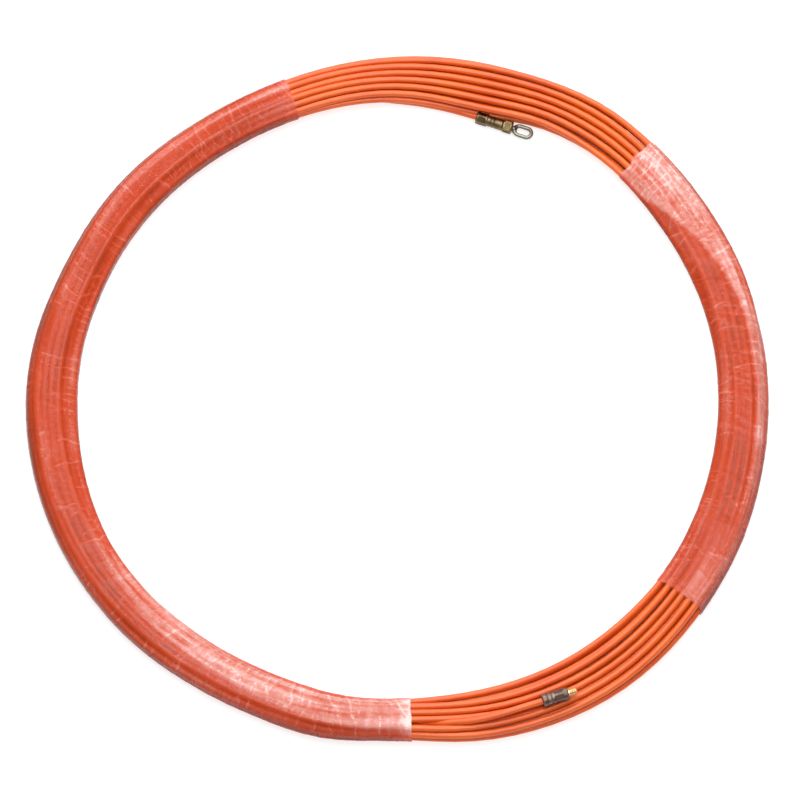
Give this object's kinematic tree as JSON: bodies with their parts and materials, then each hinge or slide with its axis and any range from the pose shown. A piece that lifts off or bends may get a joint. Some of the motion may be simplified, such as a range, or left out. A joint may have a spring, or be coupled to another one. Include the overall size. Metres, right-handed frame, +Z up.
{
  "type": "fish tape coil",
  "caption": "Round fish tape wound in a film-bound ring coil, with a swivel pulling eye on one end and a threaded ferrule on the other.",
  "frame": {"origin": "floor point at the centre of the ring coil, at the bottom of its bounding box", "axes": "+Z up along the ring's axis, the coil lying flat; +X to the right and +Y away from a viewer who has the pulling eye at the far side"},
  "size_m": [0.4999, 0.4999, 0.0253],
  "materials": {
    "tape": "smooth glossy orange jacket",
    "film": "clear stretch film in wrinkled layers",
    "dull_brass": "tarnished turned brass with a crimped collar",
    "knurled_brass": "straight-knurled brass",
    "steel": "nickel-plated steel bar",
    "ferrule_steel": "crimped steel sleeve",
    "bright_brass": "bright rolled thread"
  },
  "bodies": {
    "coil": {"tape_coil": "tape", "tape_lead": "tape", "tape_tail": "tape", "film_right": "film", "film_left": "film", "leader_ferrule": "dull_brass", "swivel_stud": "steel", "swivel_barrel": "knurled_brass", "tail_ferrule": "ferrule_steel", "tail_stud": "bright_brass"},
    "eye": {"pulling_eye": "steel"}
  },
  "joints": [
    {"name": "eye_swivel", "type": "hinge", "parent": "coil", "child": "eye", "pos_m": [0.07413, 0.19923, 0.0052], "axis": [0.9426, -0.3338, 0], "continuous": true}
  ]
}
